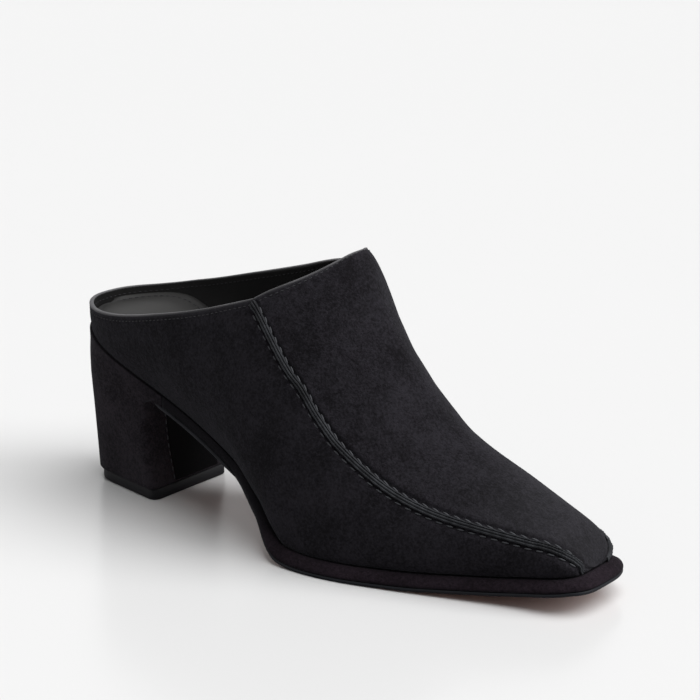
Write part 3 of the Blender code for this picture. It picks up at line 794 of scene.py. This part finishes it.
def collar_line(depth, below):
    """A closed loop of points and outward normals, depth inside the face and below the collar's rim."""
    back = np.concatenate(([0.0], stretch(0.0, BACK_ROUND_END, 26, ease_in=True)))
    sides_of = stretch(BACK_ROUND_END, SEAM_TOP_OUTER, 60)
    along = np.concatenate((back, sides_of, stretch(SEAM_TOP_OUTER, THROAT_PEAK, 63, ease_out=True)))
    sides = []
    for side in (OUTER, INNER):
        angle = collar_angle(side, along)
        fine = angle[:, None] - np.linspace(0.0, 0.6, 61)
        strip = skin(side, along[:, None], fine)
        run = np.linalg.norm(np.diff(strip, axis=1), axis=-1)
        run = np.concatenate((np.zeros((len(along), 1)), np.cumsum(run, axis=1)), axis=1)
        lowered = np.array([np.interp(below, run[k], fine[k]) for k in range(len(along))])
        points, _, _, out = skin_frame(side, along, np.maximum(lowered, FEATHER_ANGLE))
        out[0, 1] = 0.0
        out[-1, 1] = 0.0
        out = steady_back(along, points, unit(out))
        sides.append((points - out * depth, out))
    (a, a_out), (b, b_out) = sides
    points = np.concatenate((a, b[::-1][1:-1]))
    outs = np.concatenate((a_out, b_out[::-1][1:-1]))
    return points, outs


def loop_run(points):
    return unit(np.roll(points, -1, axis=0) - np.roll(points, 1, axis=0))


def close_loop(points, outs):
    return np.concatenate((points, points[:1])), np.concatenate((outs, outs[:1]))


def seam_line(side, aside, lift, start_gap, stations=170, final=SEAM_ROWS[-1][0]):
    """A line beside the raised seam, aside towards the crest and lift off the last, both in metres."""
    seam_top = SEAM_TOP_OUTER if side == OUTER else SEAM_TOP_INNER
    first = seam_top + start_gap
    along = np.concatenate(([first], stretch(first, final, stations, ease_out=True)))
    rise = collar_angle(side, seam_top) - COLLAR_TUCK - seam_angle(side, seam_top)
    angle = seam_angle(side, along) + rise * (1 - smooth_step(along, seam_top, seam_top + SEAM_BEND))
    middle = skin(side, along, angle)
    run = unit(np.gradient(middle, axis=0))
    _, forward, upward, out = skin_frame(side, along, angle)
    across = unit(np.cross(out, run)) * side * -1
    across = across * np.sign((across * upward).sum(-1))[:, None]
    shift = across * aside
    ff, fu, uu = ((p * q).sum(-1) for p, q in ((forward, forward), (forward, upward), (upward, upward)))
    af, au = (shift * forward).sum(-1), (shift * upward).sum(-1)
    area = ff * uu - fu * fu
    moved_along = np.clip(along + (af * uu - au * fu) / area, 0.0, 0.9995)
    moved_angle = angle + (au * ff - af * fu) / area
    moved, _, _, normal = skin_frame(side, moved_along, moved_angle)
    return moved + normal * lift, normal, run


def build_upper():
    shell("upper_suede", (0.0, SUEDE_THICK), True, SUEDE, ("upper",))
    shell("upper_lining", (SUEDE_THICK + 0.00002, WALL), False, LINING)
    points, outs = collar_line(WALL / 2, 0.0002)
    run = loop_run(points)
    half = WALL / 2
    turn = np.linspace(0.0, math.pi, 9)
    profile = [(-half * 1.02 * math.cos(t), EDGE_HEIGHT * math.sin(t)) for t in turn]
    profile += [(half * 0.9, -EDGE_SUNK), (-half * 0.9, -EDGE_SUNK)]
    up = unit(np.cross(outs, run))
    up = up * np.sign(up[:, 2])[:, None]
    sweep("collar_edge", points, run, up, profile, EDGE, closed=True)


# Section of the seam's three lips: shares of half the band's width and of its height
LIPS = (
    (-1.00, 0.00), (-1.00, 0.45), (-0.86, 0.75), (-0.62, 0.80), (-0.46, 0.62), (-0.36, 0.34),
    (-0.24, 0.72), (-0.02, 1.00), (0.20, 0.96), (0.32, 0.70), (0.42, 0.30),
    (0.52, 0.62), (0.72, 0.78), (0.92, 0.62), (1.00, 0.35), (1.00, 0.00),
)
FOLD_LENGTH = 0.0016
LIP_TAPER = 0.006


def build_ridge(side, name, node):
    """One raised seam: three rough leather lips side by side, the outer ones lower, folded at the collar."""
    base, out, run = seam_line(side, 0.0, 0.0, 0.0, 420)
    travelled = np.concatenate(([0.0], np.cumsum(np.linalg.norm(np.diff(base, axis=0), axis=1))))
    fold = np.exp(-((travelled - FOLD_LENGTH) / FOLD_LENGTH) ** 2)
    end = smooth_step(travelled[-1] - travelled, 0.0, LIP_TAPER)
    wide = RIDGE_HALF * (1 + 0.22 * fold) * (0.80 + 0.20 * end)
    high = RIDGE_HEIGHT * (1 + 0.35 * fold) * (0.55 + 0.45 * end)
    profile = np.zeros((len(base), len(LIPS), 2))
    for k, (aside, up) in enumerate(LIPS):
        pulled = 0.10 * np.sin(travelled * 2 * math.pi / SEAM_LOW_STITCH[0] + aside * 2.0)
        wave = pulled + 0.07 * np.sin(travelled * 5200 + k * 1.7)
        profile[:, k, 0] = aside * wide * (1 + 0.5 * wave * (abs(aside) > 0.5))
        profile[:, k, 1] = up * high * (1 + wave) - (0.0003 if up == 0 else 0.0)
    sweep(name, base, run, out, profile, RIDGE, (node,), sharp=60)


def build_ridges():
    build_ridge(OUTER, "seam_ridge_outer_lips", "seam_ridge_outer")
    build_ridge(INNER, "seam_ridge_inner_lips", "seam_ridge_inner")


def build_seam_stitches():
    low, high = [], []
    for side in (OUTER, INNER):
        low.append(seam_line(side, -ROW_OUTSIDE, -STITCH_SUNK, 0.010, final=LOW_ROW_END)[:2])
        high.append(seam_line(side, ROW_INSIDE, HIGH_ROW_LIFT, 0.008, final=HIGH_ROW_END)[:2])
    lay_stitches("seam_stitches_low", low, SEAM_LOW_STITCH, THREAD, LOW_SLANT)
    lay_stitches("seam_stitches_high", high, SEAM_HIGH_STITCH, THREAD, HIGH_SLANT)


def build_collar_stitches():
    points, outs = close_loop(*collar_line(0.0, 0.0024))
    lay_stitches("collar_stitches", [(points - outs * 0.00008, outs)], COLLAR_STITCH, THREAD_FINE)
    points, outs = close_loop(*collar_line(WALL, 0.0026))
    lay_stitches("lining_stitches", [(points - outs * 0.00004, -outs)], COLLAR_STITCH, THREAD_DARK)


# The insole: where it starts and ends, its bound edge, the place and depth of its stitched border, and
# the middle and reach of the place where it is lighter
INSOLE_START = 0.0004
INSOLE_END = 0.986
BED_COLUMNS = 30
EDGE_GROOVE = (0.00045, 0.0007)
BORDER_GROOVE = (0.00035, 0.0007)
BORDER_IN = 0.0036
BORDER_NARROWEST = 0.0058
BORDER_END = 0.80
LIGHTER_MIDDLE_AT = 0.004
LIGHTER_REACH = 0.034
LIGHTER_WIDE = 0.62


def inside_line(side, along, above_seat, gap):
    """Points a gap inside the wall at a height above the seat."""
    height = above_seat + 0 * along
    for _ in range(4):
        here, _, _, out = skin_frame(side, along, angle_at(side, along, np.maximum(height, 0.0)))
        inner = here - out * (WALL + gap)
        height = height + seat_height((inner[:, 0] + ORIGIN_BACK) / LENGTH) + above_seat - inner[:, 2]
    return inner


def insole_places():
    back = np.concatenate(([INSOLE_START], stretch(INSOLE_START, BACK_ROUND_END, 22, ease_in=True)))
    front = stretch(TOE_ROUND_START, INSOLE_END, 8, ease_out=True)
    return np.concatenate((back, stretch(BACK_ROUND_END, TOE_ROUND_START, 90), front))


def build_insole():
    """The padded insole: cupped, with a bound edge, a stitched border and a lighter colour round the middle
    of the heel.
    """
    along = insole_places()
    edges = []
    for side, cup in ((OUTER, BED_CUP_OUTER), (INNER, BED_CUP_INNER)):
        level = BED_DEPTH * last("bed", along) + cup
        edges.append([inside_line(side, along, level * share, INSOLE_GAP) for share in (1.0, 0.45, 0.0)])
    t = np.linspace(-1.0, 1.0, BED_COLUMNS + 1)
    t = np.sign(t) * (1 - (1 - np.abs(t)) ** 1.5)
    top_outer, top_inner = edges[0][0], edges[1][0]
    middle = ((top_outer + top_inner)[:, 0] / 2 + ORIGIN_BACK) / LENGTH
    bed = seat_height(middle) + BED_DEPTH * last("bed", middle)
    across = (t[None, :, None] + 1) / 2
    grid = top_outer[:, None, :] * (1 - across) + top_inner[:, None, :] * across
    flat = bed[:, None] + 0 * t
    bowl = np.abs(t) ** 3.0
    grid[..., 2] = flat * (1 - bowl) + grid[..., 2] * bowl
    half = np.linalg.norm(top_inner - top_outer, axis=-1)[:, None] / 2
    from_edge = half * (1 - np.abs(t))[None, :]
    grid[..., 2] -= EDGE_GROOVE[0] * bump_at(from_edge, 0.0, EDGE_GROOVE[1])
    grid[..., 2] -= BORDER_GROOVE[0] * bump_at(from_edge, BORDER_IN, BORDER_GROOVE[1])
    low_outer, low_inner = edges[0][2], edges[1][2]
    low = low_outer[:, None, :] * (1 - across) + low_inner[:, None, :] * across
    mid = [edges[0][1], edges[1][1]]
    rows, columns = grid.shape[:2]
    size = rows * columns
    points = np.concatenate((grid.reshape(-1, 3), low.reshape(-1, 3), mid[0], mid[1]))
    faces = loop_faces(rows, columns) + loop_faces(rows, columns, size)
    for i in range(rows - 1):
        for column_at, base in ((0, 2 * size), (columns - 1, 2 * size + rows)):
            a, b = i * columns + column_at, (i + 1) * columns + column_at
            faces.append((a, b, base + i + 1, base + i))
            faces.append((base + i, base + i + 1, b + size, a + size))
    for row, at in ((0, 0), (rows - 1, rows - 1)):
        ring = [row * columns + j for j in range(columns)] + [2 * size + rows + at]
        ring += [size + row * columns + j for j in range(columns - 1, -1, -1)] + [2 * size + at]
        faces.append(tuple(ring))
    lighter_x = (grid[..., 0] - LIGHTER_MIDDLE_AT) / LIGHTER_REACH
    lighter_y = t[None, :] / LIGHTER_WIDE
    lighter_middle = smooth_step(1.15 - np.hypot(lighter_x, lighter_y), 0.0, 0.5)
    marks = {"lighter_middle": np.concatenate((lighter_middle.ravel(), np.zeros(size), np.zeros(2 * rows)))}
    sock = make_piece("insole_sock", points, faces, [INSOLE], ("insole",),
                      marks=marks, sharp=50)
    rows_of = []
    for side, edge in ((OUTER, 0), (INNER, 1)):
        inward = unit((top_inner - top_outer) * (1 if edge == 0 else -1))
        line = edges[edge][0] + inward * BORDER_IN
        share = np.clip(1 - BORDER_IN / np.maximum(half[:, 0], 0.004), 0, 1)
        line[:, 2] = bed * (1 - share ** 3) + edges[edge][0][:, 2] * share ** 3 - 0.00028
        keep = (half[:, 0] > BORDER_NARROWEST) & (along < BORDER_END)
        rows_of.append((line[keep], np.tile((0.0, 0.0, 1.0), (int(keep.sum()), 1))))
    lay_stitches("insole_stitches", rows_of, INSOLE_STITCH, THREAD_DARK)


# The sole's and the heel's tops rise this much in the middle, in full where they are this wide
SEAT_CROWN = 0.0008
CROWN_WIDTH = 0.040


# The layers under the upper
def sole_places():
    start = BREAST_NOSE / LENGTH
    toe = stretch(TOE_ROUND_START, 1.0, 26, ease_out=True)
    return np.concatenate(([start], stretch(start, TOE_ROUND_START, 120), toe))


def plan_outline(side, places, out):
    """The feather edge in plan, moved out by a distance."""
    bare = np.stack((places * LENGTH, side * seat_half(side, places), 0 * places), -1)
    run = unit(np.concatenate((bare[1:], bare[-1:])) - np.concatenate((bare[:1], bare[:-1])))
    normal = np.stack((-run[:, 1], run[:, 0], 0 * places), -1) * side
    normal[0] = (0.0, side, 0.0)
    normal[-1] = (1.0, 0.0, 0.0)
    return bare + normal * np.asarray(out)[:, None]


def layer(places, step, depth):
    """A ring of the sole: both sides' outlines moved out by step, at a depth below the seat."""
    sides = []
    for side in (OUTER, INNER):
        line = plan_outline(side, places, step)
        line[0, 0] += GAP
        line[:, 2] = seat_height(line[:, 0] / LENGTH) - depth
        line[:, 0] -= ORIGIN_BACK
        sides.append(line)
    return tuple(sides)


def middle_of(ring):
    return (ring[0] + ring[1]) / 2


def crowned(ring):
    """The middle of a cap, raised into the piece above it, so that no light shows through the joint."""
    middle = middle_of(ring)
    width = np.abs(ring[0][:, 1] - ring[1][:, 1])
    middle[:, 2] += SEAT_CROWN * np.clip(width / CROWN_WIDTH, 0.0, 1.0) ** 2
    return middle


def rand_step(places):
    """How far the rand stands out: flush with the heel at the waist, its full step round the forefoot."""
    return HEEL_PROUD + (RAND_STEP - HEEL_PROUD) * last("rand", places)


# The rand's section: two points tucked in under the upper, in metres, then shares of the step.
# The second number of each is its depth below the seat, in metres.
RAND_TUCK = ((-0.0016, 0.0004), (-0.0004, 0.0003))
RAND_ROLL = (
    (0.02, 0.0001), (0.18, 0.0001), (0.40, 0.0005), (0.62, 0.0011), (0.80, 0.0017),
    (0.93, 0.0024), (1.00, 0.0030), (1.02, 0.0034), (0.98, 0.0038), (0.88, 0.0040),
)
WAIST_END = 0.082
FOREFOOT_START = 0.104


def waist_share(points):
    """1 along the waist, where the rand has the upper's own suede, 0 from the forefoot on."""
    return 1 - smooth_step(points[:, 0], WAIST_END, FOREFOOT_START)


def build_rand():
    """The covered rand: a rolled step round the forefoot, a plain band along the waist."""
    places = sole_places()
    step = rand_step(places)
    rings = [layer(places, out + 0 * step, depth) for out, depth in RAND_TUCK]
    rings += [layer(places, step * out, depth) for out, depth in RAND_ROLL]
    stack_piece("rand_cover", rings, [RAND], ("rand",), rub_and_highlight=waist_share, crown=True)


def build_outsole():
    """The thin leather outsole: a dark inked edge and a pink-tan underside."""
    places = sole_places()
    step = rand_step(places) - OUTSOLE_INSET
    top = RAND_THICK + GAP / 3
    shape = ((-0.0010, top), (0.0001, top + 0.0001), (0.0004, top + 0.0005), (0.0004, PLATFORM - 0.0006),
             (0.0001, PLATFORM - 0.0001), (-0.0003, PLATFORM))
    rings = [layer(places, step + out, depth) for out, depth in shape]
    finishes = [SOLE_EDGE, SOLE_BOTTOM]
    stack_piece("outsole_leather", rings, finishes, ("outsole",), cap_finish=1, sharp=45)


# The rolled edge of the waist: the place along the shoe where it starts, the heel's level where it ends,
# half its thickness, its tapers' lengths and the point of the heel's outline that it follows
ROLL_START = 0.40
ROLL_END = 4.2
ROLL_HALF = 0.0008
ROLL_TAPER = 0.016
ROLL_FADE = 0.020
ROLL_CORNER = 42

# The breast's panel: how far it reaches to each side, how proud it stands and where its seam lies beside it
BREAST_OUTER = 0.0090
BREAST_INNER = 0.0160
BREAST_PROUD = 0.00025
BREAST_THICK = 0.0006
BREAST_SEAM = 0.0007


# The heel
def lift_half(share):
    half = LIFT_WIDTH / 2
    back = rounding(1 - share / LIFT_ROUND_END, LIFT_SQUARE)
    return half * (1 - LIFT_TAPER * (1 - share)) * back


def block_outline(side, back, front, half_at, corner=HEEL_CORNER):
    """Half of a D-shaped outline, with its front corner rounded."""
    share = np.concatenate(([0.0], stretch(0.0, 0.5, 22, ease_in=True), stretch(0.5, 1.0, 16)))
    x = back + (front - corner - back) * share
    y = half_at((x - back) / (front - back))
    turn = stretch(0.0, math.pi / 2, 7)
    x = np.concatenate((x, front - corner * (1 - np.sin(turn))))
    y = np.concatenate((y, y[-1] - corner * (1 - np.cos(turn))))
    return np.stack((x, side * y, 0 * x), -1)


def heel_ring(level, inset=0.0):
    """One section of the heel block, level 0 at its seat and 6 at the top lift."""
    floor = LIFT_THICK + GAP / 3
    nose, front_height, back_height, turned, corner = (
        float(read_table(HEEL_COLUMNS, HEEL_ROWS, name, level)) for name in HEEL_COLUMNS[1:])
    proud = HEEL_PROUD * (1 - turned)
    front = BREAST_BACK + (BREAST_NOSE - BREAST_BACK) * nose - inset
    back = LIFT_BACK * turned - proud + inset
    sides = []
    for side in (OUTER, INNER):
        def half_at(share):
            along = share * BREAST_NOSE / LENGTH
            seat = seat_half(side, along)
            return np.maximum(seat + proud * (share > 0) + (lift_half(share) - seat) * turned - inset, 0.0)
        line = block_outline(side, back, front, half_at, corner * HEEL_CORNER)
        seat = seat_height(line[:, 0] / LENGTH) - GAP / 2 - floor
        share = (line[:, 0] - back) / (front - back)
        line[:, 2] = floor + seat * (back_height + (front_height - back_height) * share * share)
        line[:, 0] -= ORIGIN_BACK
        sides.append(line)
    return tuple(sides)


def build_heel():
    levels = np.concatenate((np.linspace(0, 1, 5), np.linspace(1, 4, 22)[1:], np.linspace(4, 5.9, 14)[1:]))
    rings = [heel_ring(level) for level in levels]
    rings.append(heel_ring(5.97))
    rings.append(heel_ring(6.0, 0.0004))
    rings.insert(0, heel_ring(0.0, 0.0005))
    stack_piece("heel_cover", rings, [HEEL_SUEDE], ("heel",), sharp=60, crown=True)


def build_breast():
    """The smooth panel on the heel's breast and the stitched seam beside it."""
    levels = np.linspace(1.2, 5.95, 60)
    fronts = np.array([middle_of(heel_ring(level))[-1] for level in levels])
    across = np.linspace(-BREAST_OUTER, BREAST_INNER, 9)
    grid = fronts[:, None, :] + np.stack((0 * across + BREAST_PROUD, across, 0 * across), -1)
    behind = grid - np.array((BREAST_THICK, 0.0, 0.0))
    rows, columns = grid.shape[:2]
    size = rows * columns
    faces = loop_faces(rows, columns) + loop_faces(rows, columns, size)
    for i in range(rows - 1):
        for j in (0, columns - 1):
            a, b = i * columns + j, (i + 1) * columns + j
            faces.append((a, b, b + size, a + size))
    for j in range(columns - 1):
        for i in (0, rows - 1):
            a, b = i * columns + j, i * columns + j + 1
            faces.append((a, b, b + size, a + size))
    points = np.concatenate((grid.reshape(-1, 3), behind.reshape(-1, 3)))
    make_piece("breast_panel", points, faces, [BREAST_WITH_SHADE], sharp=40)
    line = fronts[6:] + np.array((0.0001, -BREAST_OUTER - BREAST_SEAM, 0.0))
    seam = (line, np.tile((1.0, 0.0, 0.0), (len(line), 1)))
    lay_stitches("breast_stitches", [seam], BREAST_STITCH, THREAD)


def build_waist_roll():
    """The rolled edge along the waist's lower edge, turned down at the corners of the heel's breast."""
    ahead = np.linspace(ROLL_START, BREAST_NOSE / LENGTH + 0.004, 60)
    downward = np.linspace(1.15, ROLL_END, 60)
    back = ahead[::-1]
    for number, name in ((0, "waist_roll_outer"), (1, "waist_roll_inner")):
        sole = layer(back, rand_step(back), PLATFORM - ROLL_HALF + 0 * ahead)[number][::-1]
        corner = np.array([heel_ring(level)[number][ROLL_CORNER] for level in downward])
        points = np.concatenate((sole, corner))
        for _ in range(30):
            points[1:-1] = (points[:-2] + 2 * points[1:-1] + points[2:]) / 4
        run = unit(np.gradient(points, axis=0))
        out = np.tile((0.35, (-1.0, 1.0)[number], -0.35), (len(points), 1))
        out = unit(out - run * (out * run).sum(-1)[:, None])
        travelled = np.concatenate(([0.0], np.cumsum(np.linalg.norm(np.diff(points, axis=0), axis=1))))
        size = ROLL_HALF * smooth_step(travelled, 0.0, ROLL_TAPER)
        size = size * smooth_step(travelled[-1] - travelled, 0.0, ROLL_FADE)
        turn = np.linspace(0.0, 2 * math.pi, 13)[:-1]
        circle = np.stack((np.cos(turn), np.sin(turn)), -1)
        sweep(name, points, run, out, circle[None] * size[:, None, None], ROLL_WITH_HIGHLIGHT)


# The top lift's rounded edges: how far in, and at what height
LIFT_EDGES = (
    (0.0004, LIFT_THICK), (0.0, LIFT_THICK - 0.0004), (0.0, 0.0005), (0.0002, 0.0002), (0.0006, 0.0),
)


def lift_ring(inset, height):
    back = LIFT_BACK + LIFT_INSET + inset
    front = LIFT_BACK + LIFT_LENGTH - LIFT_INSET - inset
    sides = []
    for side in (OUTER, INNER):
        def half_at(share):
            return np.maximum(lift_half(share) - LIFT_INSET - inset, 0.0)
        line = block_outline(side, back, front, half_at)
        line[:, 2] = height
        line[:, 0] -= ORIGIN_BACK
        sides.append(line)
    return tuple(sides)


def build_top_lift():
    rings = [lift_ring(inset, height) for inset, height in LIFT_EDGES]
    stack_piece("top_lift_rubber", rings, [RUBBER], ("top_lift",), sharp=50)


# Studio: the floor's reach, its colour as seen and as it lights the shoe, the world's light and its mirror
# image's, and the two lamps with their direction, strength and spread in degrees
FLOOR_REACH = 30.0
FLOOR_SEEN = (0.88, 0.88, 0.88)
FLOOR_BOUNCE = (0.42, 0.41, 0.42)
FLOOR_SHINE = 0.35
WORLD_LIGHT = 0.16
WORLD_MIRRORED = 0.85
SUNS = (("overhead", (0.35, 0.12, 1.0), 2.40, 60.0), ("toe_side", (1.0, 0.45, 0.65), 1.15, 40.0))

# Camera, fitted to the photograph
CAMERA_PLACE = (0.58721, -0.60179, 0.30381)
CAMERA_AHEAD = (-0.59495, 0.75360, -0.27949)
CAMERA_ROLL = -0.11
CAMERA_LENS = 109.50
CAMERA_SHIFT = (-16.1 / 700, -13.4 / 700)


def build_studio():
    floor_mesh = bpy.data.meshes.new("floor")
    corners = [(x * FLOOR_REACH, y * FLOOR_REACH, 0) for x, y in ((-1, -1), (1, -1), (1, 1), (-1, 1))]
    floor_mesh.from_pydata(corners, [], [(0, 1, 2, 3)])
    floor = bpy.data.objects.new("floor", floor_mesh)
    bpy.context.scene.collection.objects.link(floor)
    finish = plain("studio_floor", FLOOR_SEEN, 0.22)
    surface = finish.node_tree.nodes["Principled BSDF"]
    surface.inputs["Specular IOR Level"].default_value = FLOOR_SHINE
    rays = add_node(finish.node_tree, "ShaderNodeLightPath")
    seen = blend_colour(finish.node_tree, rays.outputs["Is Camera Ray"], FLOOR_BOUNCE, FLOOR_SEEN)
    finish.node_tree.links.new(seen, surface.inputs["Base Color"])
    floor_mesh.materials.append(finish)
    world = bpy.data.worlds.new("studio")
    bpy.context.scene.world = world
    world.use_nodes = True
    world.node_tree.nodes["Background"].inputs["Color"].default_value = (1.0, 1.0, 1.0, 1.0)
    tree = world.node_tree
    rays = add_node(tree, "ShaderNodeLightPath")
    mirrored = add_node(tree, "ShaderNodeMapRange")
    mirrored.inputs["To Min"].default_value = WORLD_LIGHT
    mirrored.inputs["To Max"].default_value = WORLD_MIRRORED
    bright = add_node(tree, "ShaderNodeMath", operation="MAXIMUM")
    tree.links.new(rays.outputs["Is Glossy Ray"], bright.inputs[0])
    tree.links.new(rays.outputs["Is Camera Ray"], bright.inputs[1])
    tree.links.new(bright.outputs[0], mirrored.inputs["Value"])
    tree.links.new(mirrored.outputs["Result"], tree.nodes["Background"].inputs["Strength"])
    for name, aim, strength, spread in SUNS:
        lamp = bpy.data.lights.new(name, "SUN")
        lamp.energy = strength
        lamp.angle = math.radians(spread)
        thing = bpy.data.objects.new(name, lamp)
        thing.rotation_euler = Vector(aim).to_track_quat("Z", "Y").to_euler()
        bpy.context.scene.collection.objects.link(thing)


def build_camera():
    lens = bpy.data.cameras.new("camera")
    lens.lens = CAMERA_LENS
    lens.sensor_width = 36.0
    lens.shift_x, lens.shift_y = CAMERA_SHIFT
    lens.clip_end = 100.0
    camera = bpy.data.objects.new("camera", lens)
    bpy.context.scene.collection.objects.link(camera)
    camera.location = CAMERA_PLACE
    camera.rotation_euler = Vector(CAMERA_AHEAD).to_track_quat("-Z", "Y").to_euler()
    camera.rotation_euler.rotate_axis("Z", math.radians(CAMERA_ROLL))
    bpy.context.scene.camera = camera


bpy.context.scene.view_settings.view_transform = "Standard"
build_camera()

# Finishes: dark and light colour, then the second colour (wear, the rand's waist tone and the painted
# highlight on the upper's toe) and sheen for suede, roughness and grain for leather
SUEDE = suede(
    "suede", (0.0050, 0.0044, 0.0056), (0.0230, 0.0212, 0.0262), (0.09, 0.09, 0.098), 0.04)
HEEL_SUEDE = suede(
    "heel_suede", (0.0090, 0.0075, 0.0096), (0.0375, 0.0320, 0.0385), (0.05, 0.05, 0.055), 0.03)
RAND = suede(
    "rand_suede", (0.0058, 0.0037, 0.0055), (0.0195, 0.0134, 0.0186), (0.0130, 0.0120, 0.0145), 0.02)
# The breast panel's own dark smooth leather, darkened further with painted shade for the shade under the
# waist
BREAST_WITH_SHADE = smooth_leather(
    "breast_leather_painted_shade", (0.0022, 0.0020, 0.0025), (0.0036, 0.0033, 0.0040), 0.60, 0.2, shine=0.03)
RIDGE = smooth_leather(
    "ridge_leather", (0.012, 0.0125, 0.0145), (0.040, 0.042, 0.047), 0.60, 0.9)
EDGE = smooth_leather(
    "folded_edge", (0.075, 0.074, 0.078), (0.120, 0.118, 0.124), 0.50, 0.2)
LINING = smooth_leather(
    "lining_leather", (0.0085, 0.0082, 0.0082), (0.0125, 0.0120, 0.0122), 0.50, 0.2)
INSOLE = smooth_leather(
    "insole_leather", (0.0190, 0.0185, 0.0183), (0.0240, 0.0235, 0.0232), 0.55, 0.12,
    mark="lighter_middle", marked=(0.031, 0.0305, 0.030))
SOLE_EDGE = smooth_leather(
    "sole_edge_ink", (0.0080, 0.0090, 0.0120), (0.0140, 0.0155, 0.0200), 0.40, 0.1)
SOLE_BOTTOM = smooth_leather(
    "sole_leather", (0.40, 0.19, 0.14), (0.50, 0.26, 0.20), 0.40, 0.08, coat=0.2)
# The rolled edge's own leather, made lighter and bluer with a painted highlight along it
ROLL_WITH_HIGHLIGHT = smooth_leather(
    "rolled_edge_painted_highlight", (0.022, 0.023, 0.027), (0.036, 0.037, 0.043), 0.60, 0.4)
RUBBER = plain("lift_rubber", (0.0165, 0.0166, 0.0188), 0.55)
THREAD = plain("thread_grey", (0.062, 0.064, 0.071), 0.60, 0.1)
THREAD_FINE = plain("thread_fine", (0.034, 0.034, 0.038), 0.60, 0.1)
THREAD_DARK = plain("thread_dark", (0.022, 0.021, 0.024), 0.65, 0.05)

THREAD_TREE = thread_tree()
build_upper()
build_ridges()
build_seam_stitches()
build_collar_stitches()
build_insole()
build_rand()
build_outsole()
build_heel()
build_breast()
build_waist_roll()
build_top_lift()
build_studio()
